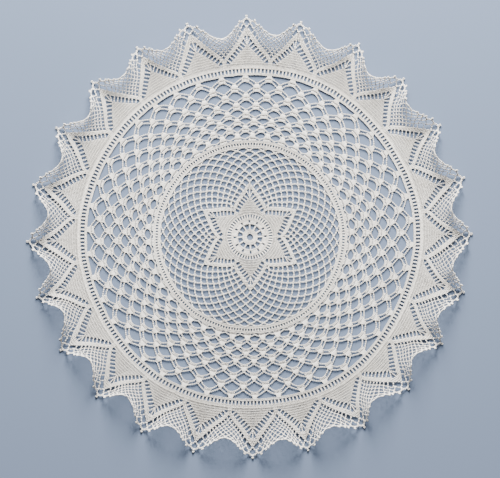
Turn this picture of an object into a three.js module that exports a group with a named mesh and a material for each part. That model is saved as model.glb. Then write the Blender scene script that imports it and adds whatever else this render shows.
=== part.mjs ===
// A round crocheted table doily with a ruffled border, lying on a surface.
// Millimetres, +Z up. The origin is the middle of the underside. Angles are in degrees,
// clockwise from +Y as seen from above.
import * as THREE from "three";
import { mergeVertices } from "three/addons/utils/BufferGeometryUtils.js";

// Driving dimensions
const NET_THICKNESS = 1.0; // chains and clusters of the open nets
const DENSE_THICKNESS = 1.5; // close rows of tall stitches: star, rings and border
const EYELET_RADIUS = 2.7; // small round hole at the very middle
const EYELET_SIDES = 12;
const STAR = { points: 6, apexRadius: 45.8, valleyRadius: 26.5, turnDeg: -0.5 };
const INNER_RING = { inner: 77.0, outer: 82.0, sides: 84 };
const OUTER_RING = { inner: 140.8, outer: 147.2 };
const CREST_HEIGHT = 22; // how far the ruffle rises between two points of the border

// The gaps of the fan net, outermost row first. Each gap is arched on its outer side and
// comes to a point on its inner side. Top and foot are distances from the centre, width is
// taken across the arch, and turn is the row's offset in gaps.
const GAPS_IN_A_ROW = 42;
const NET_TURN_DEG = 2.6;
const GAP_ROWS = [
  { top: 139.8, foot: 133.3, width: 17.6, turn: 0 },
  { top: 133.3, foot: 125.8, width: 13.3, turn: 0.5 },
  { top: 125.6, foot: 118.1, width: 11.1, turn: 0 },
  { top: 117.8, foot: 110.9, width: 11.1, turn: 0.5 },
  { top: 109.6, foot: 104.0, width: 9.9, turn: 0 },
  { top: 102.7, foot: 98.0, width: 8.9, turn: 0.5 },
  { top: 96.1, foot: 91.6, width: 7.9, turn: 0 },
];

// The corners of one gap: side is a share of half the width, rise a share of the height
// from foot to top.
const GAP_CORNERS = [
  { side: 0, rise: 0 },
  { side: 1, rise: 0.55 },
  { side: 0.5, rise: 1 },
  { side: -0.5, rise: 1 },
  { side: -1, rise: 0.55 },
];

// The border's points and the hollows between them, in turn round the edge. A point lies on
// the surface; in the hollow after it the cloth stands up, so the edge there is nearer the
// centre as seen from above. Reach is the distance from the centre to the edge.
const POINTS = [
  { pointDeg: -0.9, pointReach: 190.0, hollowDeg: 7.0, hollowReach: 174.2 },
  { pointDeg: 13.3, pointReach: 190.0, hollowDeg: 22.5, hollowReach: 173.8 },
  { pointDeg: 29.4, pointReach: 190.9, hollowDeg: 36.5, hollowReach: 172.5 },
  { pointDeg: 44.2, pointReach: 190.0, hollowDeg: 50.5, hollowReach: 177.2 },
  { pointDeg: 59.5, pointReach: 190.0, hollowDeg: 66.0, hollowReach: 174.2 },
  { pointDeg: 74.5, pointReach: 190.9, hollowDeg: 82.4, hollowReach: 174.6 },
  { pointDeg: 89.2, pointReach: 190.9, hollowDeg: 98.3, hollowReach: 175.9 },
  { pointDeg: 104.4, pointReach: 190.0, hollowDeg: 113.0, hollowReach: 175.5 },
  { pointDeg: 119.0, pointReach: 189.2, hollowDeg: 126.0, hollowReach: 174.2 },
  { pointDeg: 133.7, pointReach: 189.2, hollowDeg: 143.0, hollowReach: 175.9 },
  { pointDeg: 148.9, pointReach: 190.9, hollowDeg: 157.5, hollowReach: 177.6 },
  { pointDeg: 164.8, pointReach: 190.0, hollowDeg: 171.0, hollowReach: 176.3 },
  { pointDeg: 179.3, pointReach: 190.0, hollowDeg: 187.0, hollowReach: 173.8 },
  { pointDeg: 194.8, pointReach: 190.9, hollowDeg: 202.8, hollowReach: 176.3 },
  { pointDeg: 209.1, pointReach: 191.7, hollowDeg: 217.7, hollowReach: 172.5 },
  { pointDeg: 223.9, pointReach: 190.5, hollowDeg: 232.4, hollowReach: 173.3 },
  { pointDeg: 239.1, pointReach: 190.0, hollowDeg: 248.0, hollowReach: 172.5 },
  { pointDeg: 254.2, pointReach: 190.9, hollowDeg: 261.0, hollowReach: 172.9 },
  { pointDeg: 268.8, pointReach: 191.7, hollowDeg: 276.0, hollowReach: 174.2 },
  { pointDeg: 283.5, pointReach: 191.7, hollowDeg: 292.0, hollowReach: 174.6 },
  { pointDeg: 299.4, pointReach: 191.3, hollowDeg: 306.5, hollowReach: 172.9 },
  { pointDeg: 314.5, pointReach: 190.5, hollowDeg: 321.5, hollowReach: 176.3 },
  { pointDeg: 329.2, pointReach: 190.0, hollowDeg: 335.6, hollowReach: 176.8 },
  { pointDeg: 343.5, pointReach: 191.3, hollowDeg: 352.0, hollowReach: 170.8 },
];

// How the ruffle leaves the flat middle, as powers of the share of the border's width
const RISE_POWER = 3.0;
const DRAW_IN_POWER = 2.6;
const CREST_SHAPE = 1.7; // how broad the surface's trough is under a point
const OUTLINE_SHAPE = 1.8; // how sharp a point is as seen from above
const BORDER_STEPS = [0, 0.3, 0.55, 0.78, 1]; // rings of the border's mesh, from the ring out
const HALF_WAVE_STEPS = [0, 1 / 3, 2 / 3]; // columns from a point to the next hollow

const radians = THREE.MathUtils.degToRad;

// A point of the plan at an angle and a distance from the centre
function polar(angleDeg, radius) {
  const angle = radians(angleDeg);
  return new THREE.Vector2(radius * Math.sin(angle), radius * Math.cos(angle));
}

// The border's columns: each has its angle, its place in the wave (0 at a point, 1 in a
// hollow), and the edge's reach with and without the ruffle's draw-in.
function borderColumns() {
  const columns = [];
  POINTS.forEach((here, i) => {
    const next = POINTS[(i + 1) % POINTS.length];
    const nextDeg = next.pointDeg + (i + 1 === POINTS.length ? 360 : 0);
    const hollowFlat = (here.pointReach + next.pointReach) / 2;
    const drop = hollowFlat - here.hollowReach;
    const halves = [
      { from: here.pointDeg, to: here.hollowDeg, falling: false },
      { from: here.hollowDeg, to: nextDeg, falling: true },
    ];
    for (const half of halves) {
      for (const step of HALF_WAVE_STEPS) {
        const wave = half.falling ? 1 - step : step;
        const share = half.falling ? 0.5 + step / 2 : step / 2;
        columns.push({
          angleDeg: THREE.MathUtils.lerp(half.from, half.to, step),
          wave,
          drop,
          flatReach: THREE.MathUtils.lerp(here.pointReach, next.pointReach, share),
        });
      }
    }
  });
  return columns;
}

// The underside of the border, at a share of its width from the outer ring to the edge
function borderPoint(column, share) {
  const crest = Math.sin((column.wave * Math.PI) / 2);
  const width = column.flatReach - OUTER_RING.outer;
  const drawIn = column.drop * crest ** OUTLINE_SHAPE * share ** DRAW_IN_POWER;
  const radius = OUTER_RING.outer + width * share - drawIn;
  const plan = polar(column.angleDeg, radius);
  const height = CREST_HEIGHT * crest ** CREST_SHAPE * share ** RISE_POWER;
  return new THREE.Vector3(plan.x, plan.y, height);
}

// A bag of triangles that becomes one closed mesh
class Skin {
  constructor() {
    this.positions = [];
  }
  triangle(a, b, c) {
    for (const p of [a, b, c]) this.positions.push(p.x, p.y, p.z);
  }
  quad(a, b, c, d) {
    this.triangle(a, b, c);
    this.triangle(a, c, d);
  }
  // A level face inside an outline and round some holes, facing up or down
  level(outline, holes, height, up) {
    const corners = [outline, ...holes].flat();
    for (const face of THREE.ShapeUtils.triangulateShape(outline, holes)) {
      const [a, b, c] = face.map((i) => corners[i]);
      const turn = (b.x - a.x) * (c.y - a.y) - (b.y - a.y) * (c.x - a.x);
      const order = turn > 0 === up ? [a, b, c] : [a, c, b];
      this.triangle(...order.map((p) => new THREE.Vector3(p.x, p.y, height)));
    }
  }
  // An upright wall under an outline; outward is true where the cloth is inside the outline
  wall(outline, low, high, outward) {
    const clockwise = THREE.ShapeUtils.isClockWise(outline);
    outline.forEach((from, i) => {
      const to = outline[(i + 1) % outline.length];
      const [a, b] = clockwise === outward ? [to, from] : [from, to];
      this.quad(
        new THREE.Vector3(a.x, a.y, low),
        new THREE.Vector3(b.x, b.y, low),
        new THREE.Vector3(b.x, b.y, high),
        new THREE.Vector3(a.x, a.y, high),
      );
    });
  }
  geometry() {
    const soup = new THREE.BufferGeometry();
    soup.setAttribute("position", new THREE.Float32BufferAttribute(this.positions, 3));
    const closed = mergeVertices(soup, 1e-4);
    closed.computeVertexNormals();
    return closed;
  }
}

// Plan outlines
function ring(radius, sides) {
  return Array.from({ length: sides }, (_, i) => polar((360 * i) / sides, radius));
}

function starOutline() {
  const step = 180 / STAR.points;
  return Array.from({ length: 2 * STAR.points }, (_, i) =>
    polar(STAR.turnDeg + i * step, i % 2 ? STAR.valleyRadius : STAR.apexRadius),
  );
}

function gapOutline(row, index) {
  const pitch = 360 / GAPS_IN_A_ROW;
  const middleDeg = NET_TURN_DEG + (index + row.turn) * pitch;
  return GAP_CORNERS.map((corner) => {
    const radius = THREE.MathUtils.lerp(row.foot, row.top, corner.rise);
    const across = (corner.side * row.width) / 2;
    return polar(middleDeg + THREE.MathUtils.radToDeg(across / radius), radius);
  });
}

// The raised edge of the border's cloth, one cloth thickness off the underside
function offsetUp(under, col, row) {
  const count = under.length;
  const before = under[(col + count - 1) % count];
  const after = under[(col + 1) % count];
  const inner = under[col][Math.max(row - 1, 0)];
  const outer = under[col][Math.min(row + 1, under[col].length - 1)];
  const along = new THREE.Vector3().subVectors(after[row], before[row]);
  const out = new THREE.Vector3().subVectors(outer, inner);
  const normal = new THREE.Vector3().crossVectors(out, along).normalize();
  if (normal.z < 0) normal.negate();
  return under[col][row].clone().addScaledVector(normal, DENSE_THICKNESS);
}

function ruffle(skin, columns) {
  const under = columns.map((column) => BORDER_STEPS.map((s) => borderPoint(column, s)));
  const upper = under.map((line, col) =>
    line.map((point, row) =>
      row === 0
        ? new THREE.Vector3(point.x, point.y, DENSE_THICKNESS)
        : offsetUp(under, col, row),
    ),
  );
  const last = BORDER_STEPS.length - 1;
  columns.forEach((_, col) => {
    const next = (col + 1) % columns.length;
    for (let row = 0; row < last; row += 1) {
      skin.quad(upper[col][row], upper[next][row], upper[next][row + 1], upper[col][row + 1]);
      skin.quad(under[col][row], under[col][row + 1], under[next][row + 1], under[next][row]);
    }
    skin.quad(upper[col][last], upper[next][last], under[next][last], under[col][last]);
  });
}

function doilyGeometry() {
  const skin = new Skin();
  const columns = borderColumns();
  const eyelet = ring(EYELET_RADIUS, EYELET_SIDES);
  const star = starOutline();
  const innerRing = [INNER_RING.inner, INNER_RING.outer].map((r) => ring(r, INNER_RING.sides));
  const bandInside = columns.map((column) => polar(column.angleDeg, OUTER_RING.inner));
  const bandOutside = columns.map((column) => polar(column.angleDeg, OUTER_RING.outer));
  const gaps = GAP_ROWS.flatMap((row) =>
    Array.from({ length: GAPS_IN_A_ROW }, (_, index) => gapOutline(row, index)),
  );

  // Upper side: dense parts stand above the nets
  skin.level(star, [eyelet], DENSE_THICKNESS, true);
  skin.level(innerRing[0], [star], NET_THICKNESS, true);
  skin.level(innerRing[1], [innerRing[0]], DENSE_THICKNESS, true);
  skin.level(bandInside, [innerRing[1], ...gaps], NET_THICKNESS, true);
  skin.level(bandOutside, [bandInside], DENSE_THICKNESS, true);
  skin.wall(star, NET_THICKNESS, DENSE_THICKNESS, true);
  skin.wall(innerRing[0], NET_THICKNESS, DENSE_THICKNESS, false);
  skin.wall(innerRing[1], NET_THICKNESS, DENSE_THICKNESS, true);
  skin.wall(bandInside, NET_THICKNESS, DENSE_THICKNESS, false);

  // Underside, and the walls of the holes
  skin.level(bandOutside, [eyelet, ...gaps], 0, false);
  skin.wall(eyelet, 0, DENSE_THICKNESS, false);
  for (const gap of gaps) skin.wall(gap, 0, NET_THICKNESS, false);

  ruffle(skin, columns);
  return skin.geometry();
}

const cotton = new THREE.MeshStandardMaterial({
  name: "cotton_thread",
  color: 0xd8d5cc,
  roughness: 0.95,
  metalness: 0,
});

const doily = new THREE.Mesh(doilyGeometry(), cotton);
doily.name = "doily";

const object = new THREE.Group();
object.name = "crocheted_doily";
object.add(doily);

export default object;
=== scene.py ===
"""A round crocheted table doily with a ruffled border, laid flat and seen from above."""
import math

import bpy
import numpy as np
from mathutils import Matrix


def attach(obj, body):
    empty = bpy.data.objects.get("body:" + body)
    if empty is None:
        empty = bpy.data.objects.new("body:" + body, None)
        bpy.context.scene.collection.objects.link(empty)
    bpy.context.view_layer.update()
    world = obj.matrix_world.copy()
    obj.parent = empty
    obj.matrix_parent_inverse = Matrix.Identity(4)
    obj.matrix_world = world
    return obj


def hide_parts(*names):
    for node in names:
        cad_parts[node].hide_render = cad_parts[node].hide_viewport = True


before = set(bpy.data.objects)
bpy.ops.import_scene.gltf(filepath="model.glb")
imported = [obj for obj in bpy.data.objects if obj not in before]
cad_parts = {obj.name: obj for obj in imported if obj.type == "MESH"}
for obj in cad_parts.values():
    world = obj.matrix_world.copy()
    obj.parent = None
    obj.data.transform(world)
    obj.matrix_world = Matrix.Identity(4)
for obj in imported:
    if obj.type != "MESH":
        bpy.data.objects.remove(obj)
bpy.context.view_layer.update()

# Chart sizes are in millimetres. A place on the chart is an angle in degrees, clockwise from
# +Y, a distance along the cloth from the centre, and a height above the cloth's underside.
MM = 0.001
SEED = 24

# Stitches of the cotton thread: a post is a tall stitch, and ROW is a row's height. A height
# is that of a stitch's middle above the cloth's underside.
POST_WIDTH = 1.08
POST_THICKNESS = 0.84
POST_HEIGHT = 0.5
POST_SIDES = 4
ROW = 2.1
ROW_TOP_WIDTH = 0.7
ROW_TOP_HEIGHT = 0.82
CHAIN_WIDTH = 1.05
CHAIN_THICKNESS = 0.84
CHAIN_HEIGHT = 0.56

# A round of row tops is made in this many equal parts
RING_PARTS = 12

# How far past its two ends, 0 and 1, a curved path keeps its curve
ARCH_ENDS = (-0.05, 1.05)
BOW_ENDS = (-0.1, 1.0)

# Places along a post, as shares of its length: tip, two rings, tip
CLOSE_ENDS = np.array([-0.12, 0.2, 0.8, 1.12])
FREE_ENDS = np.array([-0.3, 0.03, 0.97, 1.3])

# A chain stitch is a V of two leaves. For a fine and a coarse one: the places along the stitch,
# as shares of its length, how far each place lies to the side, as a share of the chain's
# width, how far it is lifted in millimetres, and the leaf's number of sides.
LEAF_SHARE = 0.66
FINE_LEAF = (
    np.array([-0.2, 0.25, 0.8, 1.25]),
    np.array([0.0, 0.24, 0.22, 0.02]),
    np.array([-0.12, 0.1, 0.08, -0.1]),
    3,
)
COARSE_LEAF = (
    np.array([-0.25, 0.5, 1.3]),
    np.array([0.0, 0.24, 0.02]),
    np.array([-0.12, 0.1, -0.1]),
    4,
)

# The ruffled border follows the frame's solid, with crests 1 mm lower that are drawn in later and
# CREST_NEARER further. A share of 0 is where it starts and 1 is its edge.
FLAT_REACH = 147.2
EDGE_REACH = 190.0
CREST_HEIGHT = 21.0
RISE_POWER = 3.0
DRAW_IN_POWER = 3.0
CREST_NEARER = 1.2
CREST_SHAPE = 1.7
OUTLINE_SHAPE = 1.8
SLOPE_CROWDING = 1.6
SETTLED_SHARE = 0.6
REPEATS = 24
REPEAT_DEG = 360 / REPEATS
BORDER_TURN_DEG = -0.9

# Each row is one point of the border and the hollow after it:
# angle of the point, its reach, angle of the hollow, its reach as seen from above
POINTS = np.array([
    (-0.9, 190.0, 7.0, 174.2),
    (13.3, 190.0, 22.5, 173.8),
    (29.4, 190.9, 36.5, 172.5),
    (44.2, 190.0, 50.5, 177.2),
    (59.5, 190.0, 66.0, 174.2),
    (74.5, 190.9, 82.4, 174.6),
    (89.2, 190.9, 98.3, 175.9),
    (104.4, 190.0, 113.0, 175.5),
    (119.0, 189.2, 126.0, 174.2),
    (133.7, 189.2, 143.0, 175.9),
    (148.9, 190.9, 157.5, 177.6),
    (164.8, 190.0, 171.0, 176.3),
    (179.3, 190.0, 187.0, 173.8),
    (194.8, 190.9, 202.8, 176.3),
    (209.1, 191.7, 217.7, 172.5),
    (223.9, 190.5, 232.4, 173.3),
    (239.1, 190.0, 248.0, 172.5),
    (254.2, 190.9, 261.0, 172.9),
    (268.8, 191.7, 276.0, 174.2),
    (283.5, 191.7, 292.0, 174.6),
    (299.4, 191.3, 306.5, 172.9),
    (314.5, 190.5, 321.5, 176.3),
    (329.2, 190.0, 335.6, 176.8),
    (343.5, 191.3, 352.0, 170.8),
])

# Slow waves in the rings' roundness: waves in a turn, size, phase in degrees
WAVER = [(6, 0.79, 162.0), (5, 0.56, 21.0), (1, 0.4, 180.0)]
# Small unevenness of the hand work: size and wavelength, with UNEVEN_WAVES waves of each
UNEVEN = [(0.16, 31.0), (0.12, 13.0), (0.09, 7.0)]
UNEVEN_WAVES = 4

# How far to the side the cloth's slope is felt for, and the least distance from the centre at
# which that is turned into an angle
PROBE = 0.3
LEAST_PROBE_REACH = 1.0


# The cloth's surface

def edge_angle(turn):
    """The angle of a place in the border's wave at the edge; whole turns are points."""
    knots = np.empty(2 * REPEATS + 1)
    knots[0:-1:2] = POINTS[:, 0]
    knots[1::2] = POINTS[:, 2]
    knots[-1] = POINTS[0, 0] + 360
    lap = np.floor(turn / REPEATS)
    return 360 * lap + np.interp(turn - REPEATS * lap, np.arange(2 * REPEATS + 1) / 2, knots)


def along_wave(turn, rise):
    """Crowds the stitches on the wave's slopes; rise is the wave's height over its chord."""
    return turn + SLOPE_CROWDING * rise * np.sin(4 * math.pi * turn) / (4 * math.pi)


def unevenness(x, y):
    """How far each place is shifted along x and y."""
    rng = np.random.default_rng(SEED)
    shift = np.zeros(x.shape + (2,))
    for size, wavelength in UNEVEN:
        for _ in range(UNEVEN_WAVES):
            heading, phase, axis = rng.uniform(0, 2 * math.pi, 3)
            wave = np.sin(
                2 * math.pi / wavelength * (x * math.cos(heading) + y * math.sin(heading)) + phase
            )
            shift[..., 0] += size / 2 * wave * math.cos(axis)
            shift[..., 1] += size / 2 * wave * math.sin(axis)
    return shift


def underside(deg, reach):
    """Points of the cloth's underside, in millimetres."""
    share = np.clip((reach - FLAT_REACH) / (EDGE_REACH - FLAT_REACH), 0, None)
    tall = CREST_HEIGHT * share ** RISE_POWER
    turn = (deg - BORDER_TURN_DEG) / REPEAT_DEG
    turn = along_wave(turn, tall / (2 * math.pi * EDGE_REACH / REPEATS))
    settle = np.clip(share / SETTLED_SHARE, 0, 1)
    settle = settle * settle * (3 - 2 * settle)
    angle = np.radians((turn * REPEAT_DEG + BORDER_TURN_DEG) * (1 - settle)
                       + edge_angle(turn) * settle)

    lap = turn % REPEATS
    lobe = np.floor(lap).astype(int) % REPEATS
    point = POINTS[:, 1]
    after = np.roll(point, -1)
    flat_edge = point[lobe] + (after[lobe] - point[lobe]) * (lap % 1.0)
    drop = (point[lobe] + after[lobe]) / 2 - POINTS[lobe, 3] + CREST_NEARER
    crest = np.abs(np.sin(math.pi * turn))

    radius = np.where(share > 0, FLAT_REACH + (flat_edge - FLAT_REACH) * share, reach)
    radius = radius - drop * crest ** OUTLINE_SHAPE * share ** DRAW_IN_POWER
    waver = sum(size * np.cos(count * angle - math.radians(phase)) for count, size, phase in WAVER)
    grow = np.clip(reach / FLAT_REACH, 0, 1) ** 2
    radius = radius + waver * grow * np.clip(1 - share, 0, 1)
    height = tall * crest ** CREST_SHAPE

    x = radius * np.sin(angle)
    y = radius * np.cos(angle)
    shift = unevenness(x, y)
    return np.stack([x + shift[..., 0], y + shift[..., 1], height], axis=-1)


def place(deg, reach, height):
    """Points in millimetres and the cloth's normals there, for places on the chart."""
    deg, reach, height = np.broadcast_arrays(
        np.asarray(deg, float), np.asarray(reach, float), np.asarray(height, float)
    )
    across = degrees(PROBE, np.maximum(reach, LEAST_PROBE_REACH))
    ahead = underside(deg + across, reach) - underside(deg - across, reach)
    out = underside(deg, reach + PROBE) - underside(deg, reach - PROBE)
    normal = np.cross(ahead, out)
    normal /= np.linalg.norm(normal, axis=-1, keepdims=True)
    return underside(deg, reach) + normal * height[..., None], normal


def degrees(width, reach):
    """The angle that a width takes up at a distance from the centre."""
    return width / reach * 180 / math.pi


# Yarn: every stitch is one or two tapered strands, and a piece is one mesh of many strands

# A shade is the share by which the thread is lighter or, below 0, darker than its own colour:
# the spread between strands is the thread's own random tone; the ends of a strand, where they tuck
# under others, get painted shade; and each kind of stitch gets a painted level: painted shade on
# the recessed posts, painted light on the raised chains
SHADE_SPREAD = 0.05
TUCK_PAINTED_SHADE = 0.42
POST_PAINTED_SHADE = -0.08
SOLID_PAINTED_SHADE = -0.36
BAND_PAINTED_SHADE = -0.15
CHAIN_PAINTED_LIGHT = 0.05


class Yarn:
    """Collects strands and makes one mesh of them."""

    def __init__(self, name):
        self.name = name
        self.points, self.corners, self.sizes = [], [], []
        self.thread, self.tone_and_painted_shade = [], []
        self.count = 0
        self.rng = np.random.default_rng(SEED + len(name))

    def add(self, centre, normal, width, thickness, sides, painted_shade_level):
        """Strands along centre (strand, place, xyz); the first and last places are their tips."""
        strands, places = centre.shape[:2]
        tangent = np.gradient(centre, axis=1)
        tangent /= np.linalg.norm(tangent, axis=-1, keepdims=True) + 1e-12
        side = np.cross(tangent, normal)
        side /= np.linalg.norm(side, axis=-1, keepdims=True) + 1e-12
        up = np.cross(side, tangent)
        rings = places - 2
        turn = math.pi / 2 + 2 * math.pi * np.arange(sides) / sides
        middle = centre[:, 1:-1, None, :]
        around = (
            width / 2 * np.cos(turn)[:, None] * side[:, 1:-1, None, :]
            + thickness / 2 * np.sin(turn)[:, None] * up[:, 1:-1, None, :]
        )
        ring_points = (middle + around).reshape(strands, rings * sides, 3)
        per_strand = rings * sides + 2
        points = np.concatenate([centre[:, :1], ring_points, centre[:, -1:]], axis=1)

        lengths = np.linalg.norm(np.diff(centre, axis=1), axis=-1)
        along = np.concatenate([np.zeros((strands, 1)), np.cumsum(lengths, axis=1)], axis=1)
        faces, places_of, around_of = self.strand_faces(rings, sides)
        first = self.count + per_strand * np.arange(strands)
        for shape, rows, turns in zip(faces, places_of, around_of):
            corners = first[:, None, None] + shape[None]
            self.corners.append(corners.reshape(-1))
            self.sizes.append(np.full(strands * len(shape), shape.shape[1]))
            v = along[:, rows]
            u = np.broadcast_to(turns[None], v.shape)
            self.thread.append(np.stack([u, v], axis=-1).reshape(-1, 2))
        self.points.append(points.reshape(-1, 3))
        tone_and_painted_shade = np.repeat(self.rng.normal(painted_shade_level, SHADE_SPREAD, strands), per_strand)
        tone_and_painted_shade = tone_and_painted_shade.reshape(strands, per_strand)
        # Painted shade: a strand's tips, where they tuck under its neighbours, are made darker in
        # colour
        tone_and_painted_shade[:, [0, -1]] -= TUCK_PAINTED_SHADE
        self.tone_and_painted_shade.append(tone_and_painted_shade.reshape(-1))
        self.count += strands * per_strand

    @staticmethod
    def strand_faces(rings, sides):
        """Faces of one strand, with each corner's place along it and its share of a turn."""
        last = rings * sides + 1
        tips, tip_rows, tip_turns, bands, band_rows, band_turns = [], [], [], [], [], []
        for k in range(sides):
            n = (k + 1) % sides
            here, there = k / sides, (k + 1) / sides
            tips.append((0, 1 + n, 1 + k))
            tip_rows.append((0, 1, 1))
            tip_turns.append((here, there, here))
            end = 1 + (rings - 1) * sides
            tips.append((last, end + k, end + n))
            tip_rows.append((rings + 1, rings, rings))
            tip_turns.append((here, here, there))
            for r in range(rings - 1):
                low, high = 1 + r * sides, 1 + (r + 1) * sides
                bands.append((low + k, low + n, high + n, high + k))
                band_rows.append((r + 1, r + 1, r + 2, r + 2))
                band_turns.append((here, there, there, here))
        shapes = [(tips, tip_rows, tip_turns)]
        if bands:
            shapes.append((bands, band_rows, band_turns))
        return tuple([np.array(part) for part in group] for group in zip(*shapes))

    def mesh_object(self, material):
        """The piece, with the thread's own coordinates and each strand's tone and painted shade on
        it.
        """
        points = np.concatenate(self.points) * MM
        corners = np.concatenate(self.corners)
        sizes = np.concatenate(self.sizes)
        mesh = bpy.data.meshes.new(self.name)
        mesh.vertices.add(len(points))
        mesh.vertices.foreach_set("co", points.astype(np.float32).ravel())
        mesh.loops.add(len(corners))
        mesh.loops.foreach_set("vertex_index", corners.astype(np.int32))
        mesh.polygons.add(len(sizes))
        starts = np.concatenate([[0], np.cumsum(sizes)[:-1]]).astype(np.int32)
        mesh.polygons.foreach_set("loop_start", starts)
        mesh.update(calc_edges=True)
        thread = mesh.uv_layers.new(name="thread")
        thread.data.foreach_set("uv", np.concatenate(self.thread).astype(np.float32).ravel())
        tone_and_painted_shade = mesh.attributes.new("tone_and_painted_shade", "FLOAT", "POINT")
        tone_and_painted_shade.data.foreach_set("value", np.concatenate(self.tone_and_painted_shade).astype(np.float32))
        mesh.shade_smooth()
        mesh.materials.append(material)
        piece = bpy.data.objects.new(self.name, mesh)
        bpy.context.scene.collection.objects.link(piece)
        return piece


def columns_of(*values):
    """The values as arrays of one length, each turned to a column."""
    return [np.atleast_1d(value)[:, None] for value in np.broadcast_arrays(*values)]


def posts(yarn, deg0, reach0, deg1, reach1, width=POST_WIDTH, share=CLOSE_ENDS, tone_and_painted_shade=POST_PAINTED_SHADE):
    """Tall stitches, each from a place on one row to a place on the next."""
    deg0, reach0, deg1, reach1 = columns_of(deg0, reach0, deg1, reach1)
    deg = deg0 + (deg1 - deg0) * share
    reach = reach0 + (reach1 - reach0) * share
    centre, normal = place(deg, reach, POST_HEIGHT)
    yarn.add(centre, normal, width, POST_THICKNESS, POST_SIDES, tone_and_painted_shade)


def chain(yarn, path, count, width=CHAIN_WIDTH, fine=True, thickness=CHAIN_THICKNESS):
    """Chain stitches along paths; path gives (deg, reach, height) for shares 0 to 1.

    The tips of each stitch lie under its neighbours.
    """
    share, offset, lift, sides = FINE_LEAF if fine else COARSE_LEAF
    when = (np.arange(count)[:, None] + share).ravel() / count
    deg, reach, height = path(when)
    centre, normal = place(deg, reach, height)
    loops = centre.shape[0]
    centre = centre.reshape(loops * count, len(share), 3)
    normal = normal.reshape(loops * count, len(share), 3)
    tangent = np.gradient(centre, axis=1)
    side = np.cross(tangent, normal)
    side /= np.linalg.norm(side, axis=-1, keepdims=True) + 1e-12
    leaf_width = width * LEAF_SHARE
    for hand in (-1, 1):
        leaf = centre + hand * width * offset[:, None] * side + lift[:, None] * normal
        yarn.add(leaf, normal, leaf_width, thickness, sides, CHAIN_PAINTED_LIGHT)


def line(deg0, reach0, deg1, reach1, height=CHAIN_HEIGHT):
    """Straight paths between places."""
    deg0, reach0, deg1, reach1 = columns_of(deg0, reach0, deg1, reach1)
    return lambda t: (deg0 + (deg1 - deg0) * t, reach0 + (reach1 - reach0) * t, height)


def arch(deg0, deg1, foot, top, power):
    """Loops that rise from one anchor to their top and come down at the next."""
    deg0, deg1 = columns_of(deg0, deg1)

    def path(t):
        rise = 1 - np.abs(2 * np.clip(t, *ARCH_ENDS) - 1) ** power
        return deg0 + (deg1 - deg0) * t, foot + (top - foot) * rise, CHAIN_HEIGHT

    return path


def bowed(deg0, reach0, deg1, reach1, bow):
    """Paths that climb fast at first and level out, by a share from 0 to 1."""
    deg0, reach0, deg1, reach1 = columns_of(deg0, reach0, deg1, reach1)

    def path(t):
        climb = t * (1 - bow) + bow * (1 - (1 - np.clip(t, *BOW_ENDS)) ** 2)
        return deg0 + (deg1 - deg0) * t, reach0 + (reach1 - reach0) * climb, CHAIN_HEIGHT

    return path


def ring_chain(yarn, reach, count, height=ROW_TOP_HEIGHT, width=ROW_TOP_WIDTH):
    """A whole round of row tops, which look like chain."""
    span = 360 / RING_PARTS
    start = span * np.arange(RING_PARTS)
    chain(yarn, line(start, reach, start + span, reach, height), count // RING_PARTS, width, False)


def ring_posts(yarn, reach0, reach1, count, turn_deg=0.0, width=POST_WIDTH, share=CLOSE_ENDS):
    """A whole round of tall stitches."""
    deg = turn_deg + 360 / count * np.arange(count)
    posts(yarn, deg, reach0, deg, reach1, width, share)


# The middle: a small ring, twelve windows, and close rounds

HOLE_RING = 3.2
HOLE_STITCHES = 12
CENTRE_ROUNDS = [(4.7, 24), (6.3, 36)]
CENTRE_POST_WIDTH = 1.2
WINDOW_TOP = 11.2
WINDOWS = 12
WINDOW_TURN_DEG = -2.5
WINDOW_BAR_WIDTH = 1.3
WINDOW_ROUND_STITCHES = 4 * WINDOWS
SLIT_ROUND_TOP = 14.6
SLIT_ROUND_STITCHES = 84
# Where the posts above a window stand, in sixths of its width; a slit is left at each bar
SLIT_POSTS = np.linspace(1.15, 4.85, 5)
CLOSE_ROUND_TOP = 15.8
CLOSE_ROUND_STITCHES = 96
RAY_ROUND_TOP = 19.6
RAY_ROUND_STITCHES = 120
RAYS = 48
RAY_WIDTH = 1.15


def make_middle(yarn):
    ring_chain(yarn, HOLE_RING, HOLE_STITCHES, CHAIN_HEIGHT, CHAIN_WIDTH)
    below = HOLE_RING
    for top, count in CENTRE_ROUNDS:
        ring_posts(yarn, below, top, count, width=CENTRE_POST_WIDTH)
        ring_chain(yarn, top, count)
        below = top
    ring_posts(yarn, below, WINDOW_TOP, WINDOWS, WINDOW_TURN_DEG, WINDOW_BAR_WIDTH, FREE_ENDS)
    ring_chain(yarn, WINDOW_TOP, WINDOW_ROUND_STITCHES)
    spoke = 360 / WINDOWS
    for slot in SLIT_POSTS:
        deg = WINDOW_TURN_DEG + spoke * np.arange(WINDOWS) + slot * spoke / 6
        posts(yarn, deg, WINDOW_TOP, deg, SLIT_ROUND_TOP, width=RAY_WIDTH, share=FREE_ENDS)
    ring_chain(yarn, SLIT_ROUND_TOP, SLIT_ROUND_STITCHES)
    ring_posts(yarn, SLIT_ROUND_TOP, CLOSE_ROUND_TOP, CLOSE_ROUND_STITCHES)
    ring_chain(yarn, CLOSE_ROUND_TOP, CLOSE_ROUND_STITCHES)
    ring_posts(yarn, CLOSE_ROUND_TOP, RAY_ROUND_TOP, RAYS, width=RAY_WIDTH, share=FREE_ENDS)
    ring_chain(yarn, RAY_ROUND_TOP, RAY_ROUND_STITCHES)


# Solid points with a ladder and a band round them: the star and the border share this form

# The share of its room that each post fills, and its painted shade level, darkest in the recessed
# solid
SOLID_POSTS = (0.74, SOLID_PAINTED_SHADE)
BAND_POSTS = (0.94, BAND_PAINTED_SHADE)
# The widest room for one post, in post widths, the narrowest strip that is worked, and the
# narrowest that gets a row top
WIDEST_ROOM = 1.25
LEAST_STRIP = 0.5
LEAST_ROW_TOP = 0.8

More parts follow.
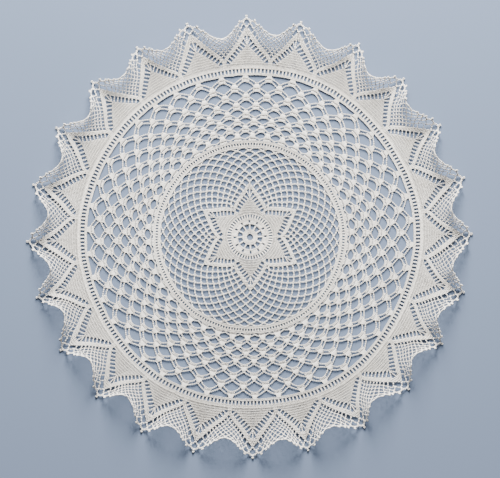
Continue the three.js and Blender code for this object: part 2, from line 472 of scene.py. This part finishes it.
# Rungs run square to the point's side. The search for a rung's end goes in RUNG_STEPS.
RUNG_STITCH = 1.9
RUNG_WIDTH = 1.0
LEAST_RUNG = 1.2
LOWEST_RUNG_ROWS = 1.2
RUNG_STEPS = np.linspace(0, 9.0, 41)
# At the tip one rung lies on the axis and one at each side leans from it
TIP_RUNG_TILT = math.radians(64)
TIP_RUNG_RISE = 2.0
TIP_RUNG_SIDE = 0.3
TIP_RUNG_OVERLAP = 0.3
TIP_RUNG_WIDTH = 0.85
TIP_RUNG_STITCHES = 3
AXIS_RUNG_START = 1.0
AXIS_RUNG_END_ROWS = 0.3
AXIS_RUNG_STITCHES = 5


class Point:
    """The chart of one solid point. Widths are half widths from the point's own axis.

    A side is given by its tip and its slope: solid is the inner point's side, inner and outer
    are the band's. The band is closed beyond the reach called close. Half its opening is at
    least tip_half, and in the hollow the band itself is at least hollow_half wide. The first
    rung is first_rung below the solid's tip, and the others follow at rung_pitch.
    """

    def __init__(self, copies, turn_deg, base, rows, close, solid, inner, outer, tip_half,
                 hollow_half, first_rung, rung_pitch):
        self.copies, self.turn_deg, self.base, self.rows = copies, turn_deg, base, rows
        self.close, self.solid, self.inner, self.outer = close, solid, inner, outer
        self.tip_half, self.hollow_half = tip_half, hollow_half
        self.first_rung, self.rung_pitch = first_rung, rung_pitch
        self.sector = math.pi / copies

    def axes(self):
        return self.turn_deg + 360 / self.copies * np.arange(self.copies)

    def half_sector(self, reach):
        return self.sector * reach

    def edge(self, side, reach):
        """Half the width inside a side."""
        tip, slope = side
        return np.clip(slope * (tip - reach), 0, self.half_sector(reach))

    def band_inner(self, reach):
        """Half the width inside the band, which is blunt at the tip and joined at the hollow."""
        inner = np.maximum(self.edge(self.inner, reach), self.tip_half)
        inner = np.minimum(inner, self.half_sector(reach) - self.hollow_half)
        return np.where(reach > self.close, 0.0, inner)

    def row_reach(self, row):
        return self.base + row * ROW

    def strip(self, yarn, row, low0, high0, low1, high1, kind):
        """Posts and a row top between two edges, on every copy of the point."""
        reach0, reach1 = self.row_reach(row), self.row_reach(row + 1)
        width = ((high0 - low0) + (high1 - low1)) / 2
        count = int(round(width / POST_WIDTH))
        if count < 1:
            return
        share = (np.arange(count) + 0.5) / count
        x0 = low0 + (high0 - low0) * share
        x1 = low1 + (high1 - low1) * share
        axes = self.axes()[:, None]
        deg0 = (axes + degrees(x0, reach0)).ravel()
        deg1 = (axes + degrees(x1, reach1)).ravel()
        room = min(width / count, WIDEST_ROOM * POST_WIDTH)
        fill, tone_and_painted_shade = kind
        posts(yarn, deg0, reach0, deg1, reach1, room * fill, tone_and_painted_shade=tone_and_painted_shade)
        if high1 - low1 > LEAST_ROW_TOP:
            start = self.axes() + degrees(low1, reach1)
            end = self.axes() + degrees(high1, reach1)
            top = line(start, reach1, end, reach1, ROW_TOP_HEIGHT)
            chain(yarn, top, count, ROW_TOP_WIDTH, False)

    def make_solid(self, yarn):
        for row in range(self.rows):
            reach0, reach1 = self.row_reach(row), self.row_reach(row + 1)
            half0, half1 = self.edge(self.solid, reach0), self.edge(self.solid, reach1)
            if row == 0:
                half0, half1 = self.half_sector(reach0), self.half_sector(reach1)
            if half0 > LEAST_STRIP:
                self.strip(yarn, row, -half0, half0, -half1, half1, SOLID_POSTS)

    def make_band(self, yarn):
        for row in range(self.rows):
            reach0, reach1 = self.row_reach(row), self.row_reach(row + 1)
            inner0, inner1 = self.band_inner(reach0), self.band_inner(reach1)
            outer0, outer1 = self.edge(self.outer, reach0), self.edge(self.outer, reach1)
            if reach0 > self.close - ROW / 2:
                self.strip(yarn, row, -outer0, outer0, -outer1, outer1, BAND_POSTS)
            elif outer0 - inner0 > LEAST_STRIP:
                self.strip(yarn, row, inner0, outer0, inner1, outer1, BAND_POSTS)
                self.strip(yarn, row, -outer0, -inner0, -outer1, -inner1, BAND_POSTS)

    def band_meets(self, x, out):
        """The first of the steps along a rung that is inside the band."""
        return np.flatnonzero(x >= self.band_inner(out))[0]

    def make_ladder(self, yarn):
        tip, slope = self.solid
        highest = tip - self.first_rung
        lowest = self.base + LOWEST_RUNG_ROWS * ROW
        tilt = math.atan((slope + self.inner[1]) / 2)
        axes = self.axes()
        for reach in np.arange(highest, lowest, -self.rung_pitch):
            foot = self.edge(self.solid, reach)
            x = foot + math.cos(tilt) * RUNG_STEPS
            out = reach + math.sin(tilt) * RUNG_STEPS
            end = self.band_meets(x, out)
            length = RUNG_STEPS[end]
            if length < LEAST_RUNG:
                continue
            count = max(1, int(round(length / RUNG_STITCH)))
            for hand in (-1, 1):
                deg0 = axes + hand * degrees(foot, reach)
                deg1 = axes + hand * degrees(x[end], out[end])
                chain(yarn, line(deg0, reach, deg1, out[end]), count, RUNG_WIDTH)

        start = highest + TIP_RUNG_RISE
        top = self.close + AXIS_RUNG_END_ROWS * ROW
        axis_rung = line(axes, start - AXIS_RUNG_START, axes, top)
        chain(yarn, axis_rung, AXIS_RUNG_STITCHES, TIP_RUNG_WIDTH)
        x = TIP_RUNG_SIDE + RUNG_STEPS * math.cos(TIP_RUNG_TILT)
        out = start + RUNG_STEPS * math.sin(TIP_RUNG_TILT)
        end = self.band_meets(x, out)
        for hand in (-1, 1):
            deg0 = axes + hand * degrees(TIP_RUNG_SIDE, start)
            deg1 = axes + hand * degrees(x[end] + TIP_RUNG_OVERLAP, out[end])
            tip_rung = line(deg0, start, deg1, out[end] + TIP_RUNG_OVERLAP)
            chain(yarn, tip_rung, TIP_RUNG_STITCHES, TIP_RUNG_WIDTH)


STAR = Point(copies=6, turn_deg=-0.5, base=19.7, rows=14, close=40.7,
             solid=(34.4, 0.86), inner=(41.7, 0.86), outer=(46.4, 0.86),
             tip_half=1.9, hollow_half=0.8, first_rung=1.6, rung_pitch=2.04)
BORDER = Point(copies=REPEATS, turn_deg=BORDER_TURN_DEG, base=147.3, rows=15, close=172.5,
               solid=(165.2, 0.95), inner=(173.7, 0.84), outer=(180.2, 0.77),
               tip_half=2.0, hollow_half=1.7, first_rung=1.2, rung_pitch=2.26)

# The fine net, between the star's points and in rounds beyond them: the reach of each row's loop
# tops, the stitches of a loop, and the power of its arch, which is fuller for a higher one

NET_COLUMNS = 42
STAR_NET_FOOT = 29.4
STAR_NET_TOPS = [32.1, 34.7, 37.1, 39.7, 43.0, 46.7, 50.2]
STAR_NET_STITCHES = [4] * len(STAR_NET_TOPS)
STAR_NET_ARCH = 1.9
ROUND_NET_TOPS = [53.5, 56.9, 60.7, 64.4, 67.8, 71.1, 74.2, 77.0]
ROUND_NET_STITCHES = 6
ROUND_NET_ARCH = 1.8
LEAST_HALF_HOLLOW = 0.4


def net_between(yarn, point, foot, tops, stitches, power, width, fine):
    """Loops between two points: one in the first row, and one more in each row after it."""
    hollows = point.axes() + 180 / point.copies
    below, anchors = foot, []
    for top, count in zip(tops, stitches):
        half = point.half_sector(below) - point.edge(point.outer, below)
        half_deg = degrees(max(half, LEAST_HALF_HOLLOW), below)
        half_deg = min(half_deg, 180 / point.copies)
        ends = np.array([-half_deg, *anchors, half_deg])
        for left, right in zip(ends[:-1], ends[1:]):
            path = arch(hollows + left, hollows + right, below, top, power)
            chain(yarn, path, count, width, fine)
        anchors = (ends[:-1] + ends[1:]) / 2
        below = top


def full_round(yarn, columns, start_deg, foot, top, stitches, power, width, fine):
    """A whole round of loops."""
    deg = start_deg + 360 / columns * np.arange(columns)
    path = arch(deg, deg + 360 / columns, foot, top, power)
    chain(yarn, path, stitches, width, fine)


def make_star_net(yarn):
    net_between(yarn, STAR, STAR_NET_FOOT, STAR_NET_TOPS, STAR_NET_STITCHES, STAR_NET_ARCH,
                CHAIN_WIDTH, True)


def make_round_net(yarn):
    """Rounds of loops, each shifted half a loop from the one before."""
    half_loop = 180 / NET_COLUMNS
    deg, below = STAR.turn_deg - half_loop, STAR_NET_TOPS[-1]
    for top in ROUND_NET_TOPS:
        full_round(yarn, NET_COLUMNS, deg, below, top, ROUND_NET_STITCHES, ROUND_NET_ARCH,
                   CHAIN_WIDTH, True)
        deg += half_loop
        below = top


# The inner ring

INNER_STITCHES = 420
INNER_FOOT = 76.8
INNER_CLOSE_TOP = 78.5
INNER_SLIT_TOP = 81.1
INNER_TOP = 82.6


def make_inner_ring(yarn):
    ring_chain(yarn, INNER_FOOT, INNER_STITCHES)
    ring_posts(yarn, INNER_FOOT, INNER_CLOSE_TOP, INNER_STITCHES)
    ring_chain(yarn, INNER_CLOSE_TOP, INNER_STITCHES)
    ring_posts(yarn, INNER_CLOSE_TOP, INNER_SLIT_TOP, INNER_STITCHES // 2, share=FREE_ENDS)
    ring_chain(yarn, INNER_SLIT_TOP, INNER_STITCHES)
    ring_posts(yarn, INNER_SLIT_TOP, INNER_TOP, INNER_STITCHES)
    ring_chain(yarn, INNER_TOP, INNER_STITCHES)


# The fan net: gaps in rows, outermost first, each with the reach of its arch and of its foot,
# and how far each row is turned from the outermost one

FAN_TURN_DEG = 2.6
FAN_GAPS = [(139.9, 132.4), (133.4, 124.2), (124.9, 116.6), (117.1, 109.6),
            (109.6, 102.9), (102.3, 96.7), (96.1, 90.3), (89.9, 84.3)]
FAN_DRIFT_DEG = [0.0, 0.0, 0.0, 0.0, -0.2, -0.5, -0.8, -1.2]

# A fan is a few posts that spread from its neck down to a block: half its width at the neck and
# at the block, the block's height, and how much wider the block's own foot is
FAN_POSTS = 5
FAN_POST_WIDTH = 1.12
FAN_NECK = 0.9
FAN_BASE = 2.4
BLOCK_HEIGHT = 1.6
BLOCK_POST_WIDTH = 1.15
BLOCK_SPREAD = 1.1
# How far a neck lies inside the feet of the gaps above it, the outermost necks lie past their
# arches, and a block's foot lies past the arch under it
NECK_INSIDE = 0.4
TOP_NECK_PAST = 0.6
BLOCK_PAST = 0.5

# A chain runs from each side of a fan, at FAN_CORNER of its height, to the neck under the next
# gap. A loop in two halves carries each block: it starts at the two fans of the row below, at
# LOOP_DROP of their gap's height under their necks and LOOP_SIDE from their axes.
FAN_CHAIN = 0.95
FAN_CORNER = 0.25
CORNER_INSIDE = 0.2
SIDE_BOW = 0.15
LOOP_BOW = 1.0
LOOP_DROP = 0.36
LOOP_SIDE = 1.7
# Stitches of a side chain in the tall outer rows and in the others; half a loop has one more
TALL_ROWS = 4
TALL_SIDE_STITCHES = 5
SIDE_STITCHES = 4


def make_fan_row(yarn, row):
    """The fans beside the gaps of one row, with their side chains and the loops under them."""
    step = 360 / NET_COLUMNS
    shift = 0.5 if row % 2 == 0 else 0.0
    axes = FAN_TURN_DEG + FAN_DRIFT_DEG[row] + step * (np.arange(NET_COLUMNS) + shift)
    last = row == len(FAN_GAPS) - 1
    neck = FAN_GAPS[0][0] + TOP_NECK_PAST if row == 0 else FAN_GAPS[row - 1][1] - NECK_INSIDE
    under = INNER_TOP if last else FAN_GAPS[row + 1][0] + BLOCK_PAST
    neck_below = FAN_GAPS[row][1] - NECK_INSIDE
    base = under + BLOCK_HEIGHT

    for share in np.linspace(-1, 1, FAN_POSTS):
        foot = axes + degrees(share * FAN_BASE, base)
        tip = axes + degrees(share * FAN_NECK, neck)
        posts(yarn, foot, base, tip, neck, width=FAN_POST_WIDTH)
        low = axes + degrees(share * FAN_BASE * BLOCK_SPREAD, under)
        posts(yarn, low, under, foot, base, width=BLOCK_POST_WIDTH)

    count = TALL_SIDE_STITCHES if row < TALL_ROWS else SIDE_STITCHES
    corner_reach = base + FAN_CORNER * (neck - base)
    for hand in (-1, 1):
        start = axes + hand * step / 2
        corner = axes + hand * degrees(FAN_BASE - CORNER_INSIDE, corner_reach)
        side = bowed(start, neck_below, corner, corner_reach, SIDE_BOW)
        chain(yarn, side, count, FAN_CHAIN)
        if not last:
            height = FAN_GAPS[row + 1][0] - FAN_GAPS[row + 1][1]
            low = neck_below - LOOP_DROP * height
            start = axes + hand * (step / 2 - degrees(LOOP_SIDE, low))
            chain(yarn, bowed(start, low, axes, under, LOOP_BOW), count + 1, FAN_CHAIN)
    if last:
        foot = axes + step / 2
        posts(yarn, foot, INNER_TOP, foot, neck_below, width=FAN_CHAIN)


def fan_rows(first, end):
    """A maker of some rows of the fan net."""
    def build(yarn):
        for row in range(first, end):
            make_fan_row(yarn, row)

    return build


# The outer ring with its round of eyelets

OUTER_STITCHES = 864
OUTER_FOOT = 139.5
OUTER_CLOSE_TOP = 140.8
EYELETS = 288
EYELET_TOP = 145.1
EYELET_POST_DEG = 0.1
EYELET_POST_WIDTH = 0.72
OUTER_TOP = 147.3


def make_outer_ring(yarn):
    ring_chain(yarn, OUTER_FOOT, OUTER_STITCHES)
    ring_posts(yarn, OUTER_FOOT, OUTER_CLOSE_TOP, OUTER_STITCHES)
    ring_chain(yarn, OUTER_CLOSE_TOP, OUTER_STITCHES)
    for side in (-EYELET_POST_DEG, EYELET_POST_DEG):
        ring_posts(yarn, OUTER_CLOSE_TOP, EYELET_TOP, EYELETS, side, EYELET_POST_WIDTH, FREE_ENDS)
    ring_chain(yarn, EYELET_TOP, OUTER_STITCHES)
    ring_posts(yarn, EYELET_TOP, OUTER_TOP, OUTER_STITCHES)
    ring_chain(yarn, OUTER_TOP, OUTER_STITCHES)


# The border's mesh, which grows by a loop a row between two points, and its edge: a round of
# net loops, a round of scallops on them and a picot on each scallop

MESH_FOOT = 155.7
MESH_TOPS = [158.0, 160.2, 162.5, 164.7, 166.9, 169.2, 171.8, 175.2, 179.4]
MESH_STITCHES = [3, 3, 3, 3, 3, 3, 5, 5, 5]
MESH_ARCH = 1.7
MESH_CHAIN = 0.86
EDGE_COLUMNS = 10 * REPEATS
EDGE_NET_TOP = 183.2
EDGE_NET_STITCHES = 5
EDGE_NET_CHAIN = 1.05
SCALLOP_TOP = 187.0
SCALLOP_POWER = 0.5
SCALLOP_STITCHES = 8
SCALLOP_CHAIN = 1.55
EDGE_THICKNESS = 1.2
PICOT_LENGTH = 2.7
PICOT_WIDTH = 0.9
PICOT_NECK = 0.4
PICOT_STITCHES = 4
PICOT_CHAIN = 1.15


def make_border_mesh(yarn):
    net_between(yarn, BORDER, MESH_FOOT, MESH_TOPS, MESH_STITCHES, MESH_ARCH, MESH_CHAIN, False)


def make_edging(yarn):
    full_round(yarn, EDGE_COLUMNS, BORDER_TURN_DEG, MESH_TOPS[-1], EDGE_NET_TOP,
               EDGE_NET_STITCHES, MESH_ARCH, EDGE_NET_CHAIN, False)
    step = 360 / EDGE_COLUMNS
    foot = BORDER_TURN_DEG + step / 2 + step * np.arange(EDGE_COLUMNS)[:, None]

    def scallop(t):
        across = 0.5 - 0.5 * np.cos(math.pi * t)
        up = np.sin(math.pi * t)
        up = np.sign(up) * np.abs(up) ** SCALLOP_POWER
        return foot + step * across, EDGE_NET_TOP + (SCALLOP_TOP - EDGE_NET_TOP) * up, CHAIN_HEIGHT

    def picot(t):
        turn = 2 * math.pi * t
        rise = 0.5 - 0.5 * np.cos(turn)
        out = SCALLOP_TOP + PICOT_LENGTH * rise
        side = PICOT_WIDTH / 2 * np.sin(turn) * (PICOT_NECK + (1 - PICOT_NECK) * rise)
        return foot + step / 2 + degrees(side, out), out, CHAIN_HEIGHT

    chain(yarn, scallop, SCALLOP_STITCHES, SCALLOP_CHAIN, False, EDGE_THICKNESS)
    chain(yarn, picot, PICOT_STITCHES, PICOT_CHAIN, thickness=EDGE_THICKNESS)


# Cotton thread

def cotton():
    """Matte off-white cotton: slow changes of tint, each strand's tone and painted shade, ply and
    fibres.
    """
    material = bpy.data.materials.new("cotton_thread")
    material.use_nodes = True
    tree = material.node_tree
    nodes, links = tree.nodes, tree.links
    shader = nodes["Principled BSDF"]
    shader.inputs["Roughness"].default_value = 0.88
    shader.inputs["Specular IOR Level"].default_value = 0.25
    shader.inputs["Sheen Weight"].default_value = 0.25
    shader.inputs["Sheen Roughness"].default_value = 0.6

    where = nodes.new("ShaderNodeTexCoord")
    blotch = nodes.new("ShaderNodeTexNoise")
    blotch.inputs["Scale"].default_value = 28.0
    blotch.inputs["Detail"].default_value = 3.0
    links.new(where.outputs["Object"], blotch.inputs["Vector"])
    tint = nodes.new("ShaderNodeValToRGB")
    tint.color_ramp.elements[0].position = 0.3
    tint.color_ramp.elements[0].color = (0.70, 0.66, 0.60, 1)
    tint.color_ramp.elements[1].position = 0.7
    tint.color_ramp.elements[1].color = (0.80, 0.775, 0.73, 1)
    links.new(blotch.outputs["Fac"], tint.inputs["Fac"])

    # Each strand's random tone, with painted shade on tucked ends and recessed posts and painted
    # light on chains, scales the tint
    stitch = nodes.new("ShaderNodeAttribute")
    stitch.attribute_name = "tone_and_painted_shade"
    level = nodes.new("ShaderNodeMath")
    level.operation = "ADD"
    level.inputs[1].default_value = 1.0
    links.new(stitch.outputs["Fac"], level.inputs[0])
    colour = nodes.new("ShaderNodeVectorMath")
    colour.operation = "SCALE"
    links.new(tint.outputs["Color"], colour.inputs[0])
    links.new(level.outputs["Value"], colour.inputs["Scale"])
    links.new(colour.outputs["Vector"], shader.inputs["Base Color"])

    ply = nodes.new("ShaderNodeUVMap")
    ply.uv_map = "thread"
    slant = nodes.new("ShaderNodeMapping")
    slant.inputs["Scale"].default_value = (2.0, 1.3, 1.0)
    slant.inputs["Rotation"].default_value = (0.0, 0.0, math.radians(32))
    links.new(ply.outputs["UV"], slant.inputs["Vector"])
    twist = nodes.new("ShaderNodeTexWave")
    twist.inputs["Scale"].default_value = 0.9
    twist.inputs["Distortion"].default_value = 0.6
    links.new(slant.outputs["Vector"], twist.inputs["Vector"])
    fibre = nodes.new("ShaderNodeTexNoise")
    fibre.inputs["Scale"].default_value = 5200.0
    fibre.inputs["Detail"].default_value = 2.0
    links.new(where.outputs["Object"], fibre.inputs["Vector"])
    rough = nodes.new("ShaderNodeMath")
    rough.operation = "MULTIPLY_ADD"
    rough.inputs[1].default_value = 0.35
    links.new(fibre.outputs["Fac"], rough.inputs[0])
    links.new(twist.outputs["Fac"], rough.inputs[2])
    bump = nodes.new("ShaderNodeBump")
    bump.inputs["Strength"].default_value = 0.5
    bump.inputs["Distance"].default_value = 0.00008
    links.new(rough.outputs["Value"], bump.inputs["Height"])
    links.new(bump.outputs["Normal"], shader.inputs["Normal"])
    return material


THREAD = cotton()


def make(name, *makers):
    """One piece from its makers, on the body and in the cotton's slot."""
    yarn = Yarn(name)
    for maker in makers:
        maker(yarn)
    piece = yarn.mesh_object(THREAD)
    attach(piece, "root")
    return piece


star_and_net = make("star_and_net", make_middle, STAR.make_solid, STAR.make_band,
                    STAR.make_ladder, make_star_net)
round_net_and_ring = make("round_net_and_ring", make_round_net, make_inner_ring)
fan_net_outer = make("fan_net_outer", fan_rows(0, TALL_ROWS))
fan_net_inner = make("fan_net_inner", fan_rows(TALL_ROWS, len(FAN_GAPS)))
eyelet_ring = make("eyelet_ring", make_outer_ring)
border_points = make("border_points", BORDER.make_solid)
border_bands = make("border_bands", BORDER.make_band, BORDER.make_ladder)
border_mesh = make("border_mesh", make_border_mesh)
picot_edge = make("picot_edge", make_edging)
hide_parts("doily")


# Floor, light and camera, in metres

FLOOR_SIZE = 4.0
FLOOR_DROP = 0.0004


def make_floor():
    bpy.ops.mesh.primitive_plane_add(size=FLOOR_SIZE, location=(0, 0, -FLOOR_DROP))
    floor = bpy.context.object
    floor.name = "floor"
    material = bpy.data.materials.new("pale_floor")
    material.use_nodes = True
    nodes, links = material.node_tree.nodes, material.node_tree.links
    shader = nodes["Principled BSDF"]
    shader.inputs["Roughness"].default_value = 0.9
    noise = nodes.new("ShaderNodeTexNoise")
    noise.inputs["Scale"].default_value = 6.0
    ramp = nodes.new("ShaderNodeValToRGB")
    ramp.color_ramp.elements[0].color = (0.098, 0.131, 0.198, 1)
    ramp.color_ramp.elements[1].color = (0.105, 0.139, 0.208, 1)
    links.new(noise.outputs["Fac"], ramp.inputs["Fac"])
    links.new(ramp.outputs["Color"], shader.inputs["Base Color"])
    floor.data.materials.append(material)


def area_light(name, place_at, size, power, colour):
    """A round light that faces the doily's middle."""
    data = bpy.data.lights.new(name, "AREA")
    data.shape = "DISK"
    data.size = size
    data.energy = power
    data.color = colour
    lamp = bpy.data.objects.new(name, data)
    lamp.location = place_at
    x, y, z = place_at
    pitch = math.atan2(math.hypot(x, y), z)
    lamp.rotation_euler = (pitch, 0, math.atan2(-x, y) + math.pi)
    bpy.context.scene.collection.objects.link(lamp)


def make_lights():
    """A low window light from the top of the picture, and a weak fill."""
    area_light("window", (0.05, 1.3, 0.76), size=0.8, power=172, colour=(1.0, 0.985, 0.96))
    area_light("fill", (-0.3, -0.7, 1.3), size=1.4, power=4, colour=(0.96, 0.98, 1.0))
    world = bpy.data.worlds.new("studio")
    world.use_nodes = True
    background = world.node_tree.nodes["Background"]
    background.inputs["Color"].default_value = (0.9, 0.93, 1.0, 1)
    background.inputs["Strength"].default_value = 0.17
    bpy.context.scene.world = world


# The image's size in pixels, one pixel on the floor, and the doily's centre in the image
PHOTO_WIDTH, PHOTO_HEIGHT = 500, 478
PIXEL = 0.856 * MM
CENTRE_PIXEL = (250.0, 237.0)
CAMERA_HEIGHT = 3.0


def make_camera():
    """A camera straight above, which takes in the image's width at the floor."""
    data = bpy.data.cameras.new("camera")
    data.sensor_fit = "HORIZONTAL"
    data.sensor_width = 36.0
    data.lens = data.sensor_width * CAMERA_HEIGHT / (PHOTO_WIDTH * PIXEL)
    camera = bpy.data.objects.new("camera", data)
    right = (PHOTO_WIDTH / 2 - CENTRE_PIXEL[0]) * PIXEL
    up = (CENTRE_PIXEL[1] - PHOTO_HEIGHT / 2) * PIXEL
    camera.location = (right, up, CAMERA_HEIGHT)
    bpy.context.scene.collection.objects.link(camera)
    bpy.context.scene.camera = camera


make_floor()
make_lights()
make_camera()
